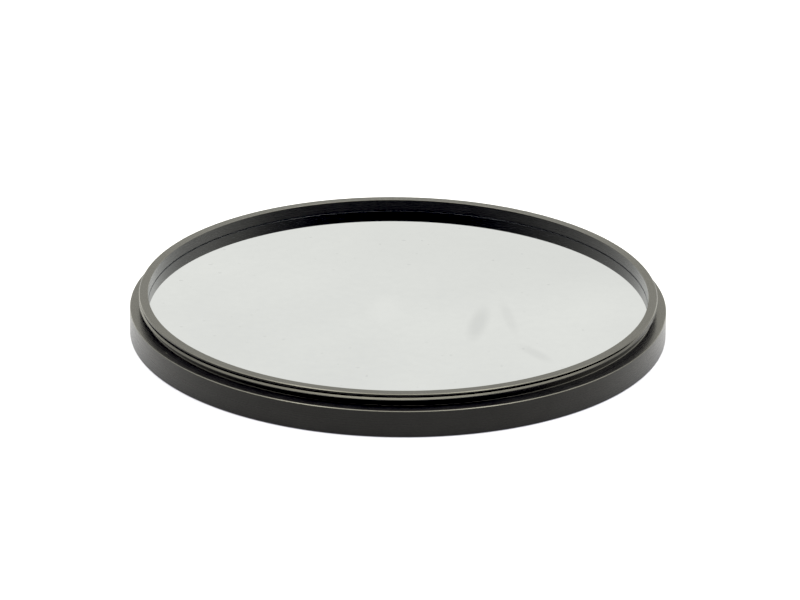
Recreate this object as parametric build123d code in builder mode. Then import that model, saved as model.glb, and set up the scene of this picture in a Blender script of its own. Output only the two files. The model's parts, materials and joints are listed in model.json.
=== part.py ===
from build123d import *
import os

# Round optical bandpass filter in a threaded mount ring.
# Millimetres, +Z up. The origin is the centre of the lower face, and the male thread points up.

# Male thread, rim and section of the turned ring
thread_diameter = 86.0  # outside of the male thread
thread_pitch = 1.0
male_length = 2.3  # from the shoulder to the top face
shoulder_width = 1.5  # from the male thread out to the rim
rim_height = 4.6
relief_depth = 0.75  # run-out groove behind the male thread
relief_width = 0.85
relief_corner = 0.15  # radius where the groove meets the shoulder
relief_wall = 0.35  # wall between the groove and the glass pocket

# Glass and its seat
glass_clearance = 0.05  # round the glass in its pocket
glass_lap = 0.35  # how far the lip reaches over the glass
glass_thickness = 1.8
glass_bevel = 0.15
lip_height = 2.0  # from the seat to the top face

# Retaining ring, screwed in from below
retainer_height = 0.7
retainer_width = 0.8
retainer_step = 0.1  # its thread is this much larger in radius than the glass pocket
retainer_clearance = 0.03
retainer_break = 0.06  # on its circular edges
slot_count = 2
slot_width = 1.6
slot_depth = 0.4

# Run-out groove at the inner end of the female thread
female_relief_width = 0.4
female_relief_depth = 0.15  # beyond the outside of the thread

# Edge breaks of the ring
rim_chamfer = 0.1
foot_chamfer = 0.18
male_chamfer = 0.12
bore_chamfer = 0.03
seat_chamfer = 0.12
lead_in = 0.5  # chamfer at the mouth of the female thread

# Radii, worked out from the thread
iso_thread_share = 0.54127  # height of a basic thread profile for a pitch of 1
thread_radius = thread_diameter / 2
rim_radius = thread_radius + shoulder_width
relief_radius = thread_radius - relief_depth
pocket_radius = relief_radius - relief_wall
glass_radius = pocket_radius - glass_clearance
bore_radius = glass_radius - glass_lap
retainer_bore_radius = pocket_radius + retainer_step
retainer_radius = retainer_bore_radius - retainer_clearance
female_radius = thread_radius - iso_thread_share * thread_pitch
female_relief_radius = thread_radius + female_relief_depth

# Levels, worked out from the rim and the male part
top_level = rim_height + male_length
relief_level = rim_height + relief_width
seat_level = top_level - lip_height
glass_level = seat_level - glass_thickness
retainer_level = glass_level - retainer_height
female_level = retainer_level - female_relief_width

match_tolerance = 1e-4


def round_edges(part, radius, level):
    """The circular edges of a part that lie at one radius and one level."""
    circles = part.edges().filter_by(GeomType.CIRCLE)
    at_radius = circles.filter_by(lambda edge: abs(edge.radius - radius) < match_tolerance)
    return at_radius.filter_by(lambda edge: abs(edge.arc_center.Z - level) < match_tolerance)


# Mount ring: one turned piece with the rim, the male thread, the seat lip and the female thread
with BuildPart() as mount_ring:
    with BuildSketch(Plane.XZ):
        with BuildLine():
            Polyline(
                (female_radius, 0),
                (rim_radius, 0),
                (rim_radius, rim_height),
                (relief_radius, rim_height),
                (relief_radius, relief_level),
                (thread_radius, relief_level),
                (thread_radius, top_level),
                (bore_radius, top_level),
                (bore_radius, seat_level),
                (pocket_radius, seat_level),
                (pocket_radius, glass_level),
                (retainer_bore_radius, glass_level),
                (retainer_bore_radius, retainer_level),
                (female_relief_radius, retainer_level),
                (female_relief_radius, female_level),
                (female_radius, female_level),
                close=True,
            )
        make_face()
    revolve(axis=Axis.Z)
    fillet(round_edges(mount_ring.part, relief_radius, rim_height), relief_corner)
    chamfer(round_edges(mount_ring.part, rim_radius, rim_height), rim_chamfer)
    chamfer(round_edges(mount_ring.part, rim_radius, 0), foot_chamfer)
    chamfer(round_edges(mount_ring.part, thread_radius, top_level), male_chamfer)
    chamfer(round_edges(mount_ring.part, thread_radius, relief_level), male_chamfer)
    chamfer(round_edges(mount_ring.part, bore_radius, top_level), bore_chamfer)
    chamfer(round_edges(mount_ring.part, bore_radius, seat_level), seat_chamfer)
    chamfer(round_edges(mount_ring.part, female_radius, 0), lead_in)

# Filter glass: a coated disc, bevelled all round, seated against the underside of the lip
with BuildPart() as filter_glass:
    with BuildSketch(Plane.XY.offset(glass_level)):
        Circle(glass_radius)
    extrude(amount=glass_thickness)
    chamfer(filter_glass.edges().filter_by(GeomType.CIRCLE), glass_bevel)

# Retaining ring: a thin threaded ring under the glass, with slots for a spanner in its lower face
with BuildPart() as retaining_ring:
    with BuildSketch(Plane.XY.offset(retainer_level)):
        Circle(retainer_radius)
        Circle(retainer_radius - retainer_width, mode=Mode.SUBTRACT)
    extrude(amount=retainer_height)
    chamfer(retaining_ring.edges().filter_by(GeomType.CIRCLE), retainer_break)
    with BuildSketch(Plane.XY.offset(retainer_level)):
        with PolarLocations(retainer_radius, slot_count):
            Rectangle(3 * retainer_width, slot_width)
    extrude(amount=slot_depth, mode=Mode.SUBTRACT)

# Write one file for each piece
os.makedirs("parts", exist_ok=True)

mount_ring.part.label = "mount_ring"
export_step(mount_ring.part, "parts/mount_ring.step")

filter_glass.part.label = "filter_glass"
export_step(filter_glass.part, "parts/filter_glass.step")

retaining_ring.part.label = "retaining_ring"
export_step(retaining_ring.part, "parts/retaining_ring.step")
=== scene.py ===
import json
import math

import bmesh
import bpy
from mathutils import Matrix, Vector


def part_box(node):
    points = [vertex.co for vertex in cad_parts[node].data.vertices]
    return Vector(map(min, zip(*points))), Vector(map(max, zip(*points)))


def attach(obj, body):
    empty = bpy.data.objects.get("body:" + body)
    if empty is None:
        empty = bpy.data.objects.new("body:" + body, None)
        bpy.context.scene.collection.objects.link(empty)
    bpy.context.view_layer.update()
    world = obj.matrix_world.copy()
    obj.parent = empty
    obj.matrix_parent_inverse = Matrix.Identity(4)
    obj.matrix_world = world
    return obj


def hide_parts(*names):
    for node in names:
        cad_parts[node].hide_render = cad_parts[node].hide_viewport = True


# Looks of the round bandpass filter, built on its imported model. Lengths are in metres.
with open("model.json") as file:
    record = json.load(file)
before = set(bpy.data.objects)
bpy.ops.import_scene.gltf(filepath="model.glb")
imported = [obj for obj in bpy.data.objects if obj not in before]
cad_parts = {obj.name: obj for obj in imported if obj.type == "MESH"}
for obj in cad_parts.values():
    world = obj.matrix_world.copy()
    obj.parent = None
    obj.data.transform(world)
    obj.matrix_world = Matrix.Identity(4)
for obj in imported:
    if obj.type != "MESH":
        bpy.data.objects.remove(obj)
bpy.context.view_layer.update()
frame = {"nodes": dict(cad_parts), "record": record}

MM = 0.001
TURN = 2 * math.pi

# Radii and levels of the real pieces, from the frame
mounts = {mount["name"]: mount for mount in frame["record"]["mounts"]}
thread_radius = mounts["male_thread"]["dims"]["r_mm"] * MM
female_radius = mounts["female_thread"]["dims"]["r_mm"] * MM
rim_level = mounts["shoulder"]["pos_m"][2]
rim_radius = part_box("mount_ring")[1].x
top_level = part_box("mount_ring")[1].z
glass_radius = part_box("filter_glass")[1].x
glass_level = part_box("filter_glass")[0].z
seat_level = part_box("filter_glass")[1].z
retainer_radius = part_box("retaining_ring")[1].x
retainer_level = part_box("retaining_ring")[0].z

# Section of the mount ring, as in the CAD model
glass_lap = 0.35 * MM
glass_clearance = 0.05 * MM
retainer_clearance = 0.03 * MM
relief_depth = 0.75 * MM
relief_width = 0.85 * MM
female_relief_depth = 0.15 * MM
female_relief_width = 0.4 * MM
bore_radius = glass_radius - glass_lap
pocket_radius = glass_radius + glass_clearance
retainer_bore_radius = retainer_radius + retainer_clearance
relief_radius = thread_radius - relief_depth
relief_level = rim_level + relief_width
female_relief_radius = thread_radius + female_relief_depth
female_level = retainer_level - female_relief_width

# Edge breaks of the mount ring, as in the CAD model
relief_corner = 0.15 * MM
rim_chamfer = 0.1 * MM
foot_chamfer = 0.18 * MM
male_chamfer = 0.12 * MM
bore_chamfer = 0.03 * MM
seat_chamfer = 0.12 * MM
lead_in = 0.5 * MM

# Retaining ring, as in the CAD model, with two spanner slots across it on the X axis
retainer_width = 0.8 * MM
retainer_break = 0.06 * MM
slot_width = 1.6 * MM
slot_depth = 0.4 * MM
half_slot = math.asin(slot_width / 2 / retainer_radius)
slot_edges = [half_slot, math.pi - half_slot, math.pi + half_slot, TURN - half_slot]

# Threads: right-handed, with the level of a groove's middle at the front of the ring
pitch = 1.0 * MM
front_angle = 1.5 * math.pi
male_groove_level = 6.35 * MM
female_groove_level = 1.0 * MM
groove_half = 0.43 * MM
root_half = 0.07 * MM
groove_depth = 0.5 * MM

# Turns of the groove that can reach each thread
male_turns = range(-2, 2)
female_turns = range(1, -3, -1)

# The ridge below the male groove has a broad bevel along its upper edge
bevel_height = 0.26 * MM
bevel_width = 0.22 * MM

# The male groove starts below the top face at one angle, and is at full depth from the next
groove_start = math.radians(348)
groove_full = math.radians(318)

# The ridge below the male groove starts at +X, on the hidden side, and is at full height here
ridge_full = math.radians(60)

# Fineness of the turned meshes
turn_steps = 720
corner_steps = 6
weld_distance = 0.0002 * MM
sharp_angle = math.radians(20)


def clamp(value, low, high):
    """The value, kept between two limits."""
    return min(max(value, low), high)


def turn_angles(breaks=()):
    """Even steps through a full turn, with a close pair of angles at each break."""
    half_gap = weld_distance / (4 * thread_radius)
    pairs = [at + side for at in breaks for side in (-half_gap, half_gap)]
    return sorted([TURN * step / turn_steps for step in range(turn_steps + 1)] + pairs)


def groove_middle(angle, front_level):
    """Level of a groove's middle at one angle."""
    return front_level + pitch * (angle - front_angle) / TURN


def arc(centre, radius, start, end):
    """Points of a circular arc in the section, from one angle to another."""
    angles = [start + (end - start) * step / corner_steps for step in range(corner_steps + 1)]
    return [(centre[0] + radius * math.cos(a), centre[1] + radius * math.sin(a)) for a in angles]


def groove_cut(offset, upper, share, ridge):
    """How deep one turn of the male groove cuts, at a height above its middle.

    The groove's upper flank ends at upper. Its depth there is a share of the full depth, and ridge
    says how much stands of the ridge below it, from 0 to 1.
    """
    if share == 0:
        return 0
    if offset >= -root_half:
        return share * groove_depth * clamp((upper - offset) / (upper - root_half), 0, 1)
    bevel_top = bevel_height - groove_half
    if offset >= bevel_top:
        along = (offset - bevel_top) / (-root_half - bevel_top)
        cut = bevel_width + (groove_depth - bevel_width) * along
    else:
        cut = bevel_width * max((offset + groove_half) / bevel_height, 0)
    return share * (groove_depth + ridge * (cut - groove_depth))


def male_thread(angle):
    """Outline of the male part above the relief groove, with the groove's turns cut into it."""
    flank_end = top_level - male_chamfer
    bends = (-groove_half, bevel_height - groove_half, -root_half, root_half, groove_half)
    levels = [relief_level, relief_level + male_chamfer, flank_end, top_level]
    grooves = []
    for turn in male_turns:
        wound = angle + turn * TURN
        middle = groove_middle(wound, male_groove_level)
        share = clamp((groove_start - wound) / (groove_start - groove_full), 0, 1)
        ridge = clamp(wound / ridge_full, 0, 1)
        grooves.append((middle, min(groove_half, flank_end - middle), share, ridge))
        levels += [clamp(middle + bend, relief_level, top_level) for bend in bends]
    points = [(relief_radius, relief_level)]
    for level in sorted(levels):
        cut = max(groove_cut(level - middle, *shape) for middle, *shape in grooves)
        from_end = min(level - relief_level, top_level - level)
        points.append((thread_radius - max(cut, male_chamfer - from_end), level))
    return points


def female_thread(angle):
    """Outline of the female thread from its relief groove down to the lead-in chamfer."""
    points = [(female_radius, female_level)]
    for turn in female_turns:
        middle = groove_middle(angle, female_groove_level) + turn * pitch
        for offset, radius in (
            (groove_half, female_radius),
            (root_half, thread_radius),
            (-root_half, thread_radius),
            (-groove_half, female_radius),
        ):
            level = middle + offset
            if level > female_level:
                radius = female_radius
            points.append((radius, clamp(level, lead_in, female_level)))
    return [*points, (female_radius, lead_in)]


def mount_ring_section(angle):
    """Section of the mount ring at one angle, anticlockwise from the mouth of the female thread."""
    corner = (relief_radius + relief_corner, rim_level + relief_corner)
    downwards = 1.5 * math.pi
    inwards = math.pi
    return [
        (female_radius + lead_in, 0),
        (rim_radius - foot_chamfer, 0),
        (rim_radius, foot_chamfer),
        (rim_radius, rim_level - rim_chamfer),
        (rim_radius - rim_chamfer, rim_level),
        *arc(corner, relief_corner, downwards, inwards),
        *male_thread(angle),
        (bore_radius + bore_chamfer, top_level),
        (bore_radius, top_level - bore_chamfer),
        (bore_radius, seat_level + seat_chamfer),
        (bore_radius + seat_chamfer, seat_level),
        (pocket_radius, seat_level),
        (pocket_radius, glass_level),
        (retainer_bore_radius, glass_level),
        (retainer_bore_radius, retainer_level),
        (female_relief_radius, retainer_level),
        (female_relief_radius, female_level),
        *female_thread(angle),
    ]


def retaining_ring_section(angle):
    """Section of the retaining ring at one angle. Its lower face steps up in the two slots."""
    from_slot = abs((angle + math.pi / 2) % math.pi - math.pi / 2)
    slot_level = retainer_level + slot_depth
    low = slot_level if from_slot < half_slot else retainer_level
    inner = retainer_radius - retainer_width
    return [
        (inner + retainer_break, low),
        (retainer_radius - retainer_break, low),
        (retainer_radius, low + retainer_break),
        (retainer_radius, slot_level + retainer_break),
        (retainer_radius, glass_level - retainer_break),
        (retainer_radius - retainer_break, glass_level),
        (inner + retainer_break, glass_level),
        (inner, glass_level - retainer_break),
        (inner, slot_level + retainer_break),
        (inner, low + retainer_break),
    ]


def weld(mesh):
    """Joins the first column to the last, drops empty faces and shades the mesh by its angles."""
    work = bmesh.new()
    work.from_mesh(mesh)
    bmesh.ops.remove_doubles(work, verts=work.verts, dist=weld_distance)
    bmesh.ops.dissolve_degenerate(work, edges=work.edges, dist=weld_distance)
    bmesh.ops.recalc_face_normals(work, faces=work.faces)
    work.to_mesh(mesh)
    work.free()
    mesh.shade_smooth()
    mesh.set_sharp_from_angle(angle=sharp_angle)


def lathe(name, section, angles):
    """A closed ring swept through the given angles of a full turn, with sharp edges kept sharp."""
    columns = [section(angle) for angle in angles]
    count = len(columns[0])
    vertices = [
        (radius * math.cos(angle), radius * math.sin(angle), level)
        for angle, column in zip(angles, columns)
        for radius, level in column
    ]
    faces = []
    for step in range(len(angles) - 1):
        here = step * count
        there = here + count
        for index in range(count):
            after = (index + 1) % count
            faces.append((here + index, there + index, there + after, here + after))
    mesh = bpy.data.meshes.new(name)
    mesh.from_pydata(vertices, [], faces)
    piece = bpy.data.objects.new(name, mesh)
    bpy.context.scene.collection.objects.link(piece)
    weld(mesh)
    return piece


class Graph:
    """A node tree, with short calls to add and join nodes."""

    def __init__(self, tree):
        self.tree = tree

    def add(self, kind, **settings):
        node = self.tree.nodes.new("ShaderNode" + kind)
        for key, value in settings.items():
            setattr(node, key, value)
        return node

    def feed(self, node_input, value):
        """Joins an output to an input, or sets the input to a plain value."""
        if isinstance(value, bpy.types.NodeSocket):
            self.tree.links.new(value, node_input)
        elif node_input.type == "RGBA":
            node_input.default_value = (*value, 1.0)
        else:
            node_input.default_value = value

    def split(self, vector):
        """The three parts of a vector."""
        node = self.add("SeparateXYZ")
        self.feed(node.inputs[0], vector)
        return node.outputs

    def calculate(self, operation, *values):
        node = self.add("Math", operation=operation)
        for value, node_input in zip(values, node.inputs):
            self.feed(node_input, value)
        return node.outputs["Value"]

    def add_up(self, total, *values):
        for value in values:
            total = self.calculate("ADD", total, value)
        return total

    def weigh(self, *parts):
        """The sum of some values, each times its weight."""
        return self.add_up(*[self.calculate("MULTIPLY", *part) for part in parts])

    def span(self, value, low, high, to_low=0.0, to_high=1.0, smooth=False):
        """A value carried over from one range to another, and kept inside it."""
        node = self.add("MapRange", interpolation_type="SMOOTHSTEP" if smooth else "LINEAR")
        self.feed(node.inputs["Value"], value)
        sockets = ("From Min", "From Max", "To Min", "To Max")
        for socket, limit in zip(sockets, (low, high, to_low, to_high)):
            self.feed(node.inputs[socket], limit)
        return node.outputs["Result"]


class Shader(Graph):
    """A material's node tree, with short calls for what its surface needs."""

    def __init__(self, name):
        self.material = bpy.data.materials.new(name)
        self.material.use_nodes = True
        super().__init__(self.material.node_tree)
        self.surface = self.tree.nodes["Principled BSDF"]

    def give(self, socket, value):
        """Feeds one socket of the surface."""
        self.feed(self.surface.inputs[socket], value)

    def place(self):
        """The place on the object, in millimetres."""
        scale = self.add("VectorMath", operation="SCALE")
        self.feed(scale.inputs[0], self.add("TexCoord").outputs["Object"])
        self.feed(scale.inputs["Scale"], 1 / MM)
        return scale.outputs["Vector"]

    def noise(self, place, scale, detail, roughness=0.5):
        node = self.add("TexNoise")
        self.feed(node.inputs["Vector"], place)
        self.feed(node.inputs["Scale"], scale)
        self.feed(node.inputs["Detail"], detail)
        self.feed(node.inputs["Roughness"], roughness)
        return node.outputs["Fac"]

    def blend(self, share, first, second):
        """A colour between two, by share."""
        node = self.add("Mix", data_type="RGBA")
        self.feed(node.inputs["Factor"], share)
        self.feed(node.inputs[6], first)
        self.feed(node.inputs[7], second)
        return node.outputs[2]

    def patch(self, place, centre, half_size, turned=0.0, strength=1.0):
        """A soft oval spot in millimetres: its strength in the middle, fading to 0 at its edge."""
        oval = self.add("Mapping", vector_type="TEXTURE")
        self.feed(oval.inputs["Vector"], place)
        self.feed(oval.inputs["Location"], centre)
        self.feed(oval.inputs["Rotation"], (0, 0, turned))
        self.feed(oval.inputs["Scale"], half_size)
        length = self.add("VectorMath", operation="LENGTH")
        self.feed(length.inputs[0], oval.outputs["Vector"])
        full_to = 0.2
        return self.span(length.outputs["Value"], full_to, 1.0, strength, 0.0, smooth=True)

    def bump(self, height, strength, distance):
        node = self.add("Bump")
        self.feed(node.inputs["Strength"], strength)
        self.feed(node.inputs["Distance"], distance)
        self.feed(node.inputs["Height"], height)
        self.give("Normal", node.outputs["Normal"])


def turning_marks(shader, place):
    """Fine rings round the optical axis, as a lathe tool leaves them."""
    x, y, z = shader.split(place)
    squares = [shader.calculate("MULTIPLY", part, part) for part in (x, y)]
    section = shader.add("CombineXYZ")
    shader.feed(section.inputs["X"], shader.calculate("SQRT", shader.add_up(*squares)))
    shader.feed(section.inputs["Y"], z)
    return shader.noise(section.outputs["Vector"], scale=9.0, detail=3.0, roughness=0.65)


def anodised(name, dark, light, roughness, specks=()):
    """Satin black anodised aluminium: turning marks under a cloudy film, and specks of dust."""
    noise_range = (0.35, 0.65)
    roughness_range = (roughness - 0.04, roughness + 0.04)
    speck_half_size = (0.2, 0.2, 0.2)
    speck_colour = (0.03, 0.03, 0.028)
    shader = Shader(name)
    place = shader.place()
    marks = turning_marks(shader, place)
    clouds = shader.noise(place, scale=0.35, detail=5.0)
    grain = shader.noise(place, scale=14.0, detail=2.0)
    tone = shader.weigh((clouds, 0.6), (marks, 0.4))
    colour = shader.blend(shader.span(tone, *noise_range), dark, light)
    for centre in specks:
        colour = shader.blend(shader.patch(place, centre, speck_half_size), colour, speck_colour)
    uneven = shader.weigh((marks, 0.5), (grain, 0.5))
    shader.give("Base Color", colour)
    shader.give("Roughness", shader.span(uneven, *noise_range, *roughness_range))
    shader.give("IOR", 1.35)
    shader.give("Specular Tint", (1.0, 0.98, 0.9))
    height = shader.weigh((marks, 1.0), (grain, 0.4))
    shader.bump(height, strength=0.12, distance=0.002 * MM)
    return shader.material


def coated_glass(name):
    """Mirror-like interference coating with faint clouds, wiping smears and specks of dust."""
    cloud_dark = (0.364, 0.379, 0.424)
    cloud_light = (0.392, 0.408, 0.452)
    dull_colour = (0.315, 0.328, 0.368)
    pale_colour = (0.405, 0.42, 0.465)
    noise_range = (0.3, 0.7)
    roughness_range = (0.02, 0.04)
    dust_range = (0.165, 0.13)
    dust_strength = 0.6
    shader = Shader(name)
    place = shader.place()

    def smear(x, y, half_width, half_length, turned, strength):
        """A soft oval mark on the top of the glass, in millimetres and degrees."""
        centre = (x, y, seat_level / MM)
        half_size = (half_width, half_length, 1.0)
        return shader.patch(place, centre, half_size, math.radians(turned), strength)

    clouds = shader.noise(place, scale=0.05, detail=3.0)
    fine = shader.noise(place, scale=0.6, detail=4.0)
    haze = shader.weigh((clouds, 0.7), (fine, 0.3))
    colour = shader.blend(shader.span(haze, *noise_range), cloud_dark, cloud_light)
    wiped = smear(13.2, -8.6, 2.2, 10.0, turned=-8, strength=0.7)
    streak = smear(18.3, -6.0, 1.4, 10.0, turned=8, strength=0.35)
    edge = smear(22.5, -21.0, 1.7, 6.0, turned=35, strength=0.45)
    film = smear(22.0, 28.0, 55.0, 35.0, turned=0, strength=0.35)
    specks = shader.noise(place, scale=1.1, detail=0.0)
    dust = shader.span(specks, *dust_range, 0.0, dust_strength)
    dull = shader.calculate("MINIMUM", shader.add_up(wiped, streak, edge, dust, film), 1.0)
    colour = shader.blend(dull, colour, dull_colour)
    pale = smear(-2.1, -3.0, 4.0, 9.0, turned=0, strength=0.5)
    shader.give("Base Color", shader.blend(pale, colour, pale_colour))
    shader.give("Roughness", shader.span(haze, *noise_range, *roughness_range))
    shader.give("Metallic", 1.0)
    return shader.material


def pale_floor(name):
    """Plain pale sheet, lit from below as on a light table."""
    shader = Shader(name)
    speckle = shader.noise(shader.place(), scale=0.8, detail=3.0)
    colour = shader.blend(speckle, (0.08, 0.08, 0.08), (0.09, 0.09, 0.09))
    shader.give("Base Color", colour)
    shader.give("Emission Color", (1.0, 1.01, 1.14))
    shader.give("Emission Strength", 0.5)
    shader.give("Roughness", 0.8)
    return shader.material


def dress(piece, material):
    """Gives a piece its one material."""
    piece.data.materials.clear()
    piece.data.materials.append(material)


def make_floor(half_width, floor_gap):
    """A flat square under the object, a hair below it so that the two faces don't fight."""
    signs = ((-1, -1), (1, -1), (1, 1), (-1, 1))
    corners = [(half_width * x, half_width * y, -floor_gap) for x, y in signs]
    mesh = bpy.data.meshes.new("floor")
    mesh.from_pydata(corners, [], [(0, 1, 2, 3)])
    floor = bpy.data.objects.new("floor", mesh)
    bpy.context.scene.collection.objects.link(floor)
    dress(floor, pale_floor("floor_card"))


def make_camera():
    """A long lens from the front, at the photograph's angle and with the ring at the same place."""
    elevation = math.radians(22.74)
    roll = math.radians(0.652)
    distance = 988.9 * MM
    pixel = MM / 6.012
    image_width = 800
    image_height = 600
    origin_column = 397.86
    origin_row = 329.92

    # Where the lens points, so that the ring's origin lands on its column and row
    forward = Vector((0, math.cos(elevation), -math.sin(elevation)))
    side = Matrix.Rotation(-roll, 3, forward) @ Vector((1, 0, 0))
    up = side.cross(forward)
    to_right = (image_width / 2 - origin_column) * pixel
    to_top = (origin_row - image_height / 2) * pixel
    place = -distance * forward
    gaze = (to_right * side + to_top * up - place).normalized()
    side = (side - side.dot(gaze) * gaze).normalized()

    data = bpy.data.cameras.new("camera")
    data.sensor_width = 36.0
    data.lens = data.sensor_width * distance / pixel / image_width
    data.clip_start = 0.01
    data.clip_end = 20
    camera = bpy.data.objects.new("camera", data)
    bpy.context.scene.collection.objects.link(camera)
    axes = Matrix((side, side.cross(gaze), -gaze)).transposed()
    camera.matrix_world = Matrix.Translation(place) @ axes.to_4x4()
    bpy.context.scene.camera = camera


def make_sky():
    """A light tent: a softbox overhead, bright sides, a dimmer back, dark on the camera's side."""
    world = bpy.data.worlds.new("light_tent")
    world.use_nodes = True
    sky = Graph(world.node_tree)
    background = sky.tree.nodes["Background"]

    def fade(value, low, high, strength, base=0.0):
        """Light that grows from a base to its strength while the value goes from low to high."""
        return sky.span(value, low, high, base, strength, smooth=True)

    # Parts of the direction, of length 1 in all and then of length 1 along the ground
    direction = sky.add("TexCoord").outputs["Generated"]
    back, height = sky.split(direction)[1:]
    flattened = sky.add("VectorMath", operation="MULTIPLY")
    sky.feed(flattened.inputs[0], direction)
    sky.feed(flattened.inputs[1], (1, 1, 0))
    level = sky.add("VectorMath", operation="NORMALIZE")
    sky.feed(level.inputs[0], flattened.outputs["Vector"])
    to_right, to_back = sky.split(level.outputs["Vector"])[:2]
    to_side = sky.calculate("ABSOLUTE", to_right)

    sides = fade(to_back, -0.9, 0.35, strength=3.3, base=0.04)
    dimmer_back = fade(to_back, 0.94, 0.995, strength=1.62)
    right_panel = fade(to_right, 0.9, 0.98, strength=1.3)
    upper_band = (0.42, 0.75)
    upper_back = sky.calculate(
        "MULTIPLY", fade(to_back, 0.0, 1.0, strength=1.0), fade(height, *upper_band, strength=1.5)
    )
    upper_sides = sky.calculate(
        "MULTIPLY", fade(to_side, 0.5, 0.9, strength=1.0), fade(height, *upper_band, strength=8.0)
    )
    softbox_lean = 0.1
    overhead = sky.calculate("SUBTRACT", height, sky.calculate("MULTIPLY", back, softbox_lean))
    softbox = fade(overhead, 0.82, 0.89, strength=25.0)
    dimmer_middle = fade(overhead, 0.905, 0.955, strength=15.5)

    bright = sky.add_up(sides, right_panel, upper_back, upper_sides, softbox)
    light = sky.calculate("SUBTRACT", bright, sky.add_up(dimmer_back, dimmer_middle))
    sky.feed(background.inputs["Strength"], light)
    sky.feed(background.inputs["Color"], (1.0, 0.985, 0.87))
    bpy.context.scene.world = world


# The object
dust_specks = [(-37.6, -21.9, 4.6)]
ring_dark = (0.001, 0.001, 0.0012)
ring_light = (0.0025, 0.0025, 0.0028)
ring_black = anodised("ring_anodised", ring_dark, ring_light, 0.27, dust_specks)
retainer_dark = (0.0015, 0.0015, 0.0016)
retainer_light = (0.003, 0.003, 0.0031)
retainer_black = anodised("retainer_anodised", retainer_dark, retainer_light, 0.32)

ring = lathe("threaded_mount_ring", mount_ring_section, turn_angles())
dress(ring, ring_black)
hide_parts("mount_ring")
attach(ring, "root")

retainer = lathe("slotted_retaining_ring", retaining_ring_section, turn_angles(slot_edges))
dress(retainer, retainer_black)
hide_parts("retaining_ring")
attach(retainer, "root")

dress(frame["nodes"]["filter_glass"], coated_glass("coated_glass"))

# The stage
make_floor(half_width=3.0, floor_gap=0.01 * MM)
make_camera()
make_sky()

# The darkest tones are lowered a little, so that the anodised black is as deep as in the photograph
view = bpy.context.scene.view_settings
view.view_transform = "Standard"
view.use_curve_mapping = True
view.curve_mapping.black_level = (0.0095, 0.0095, 0.0075)
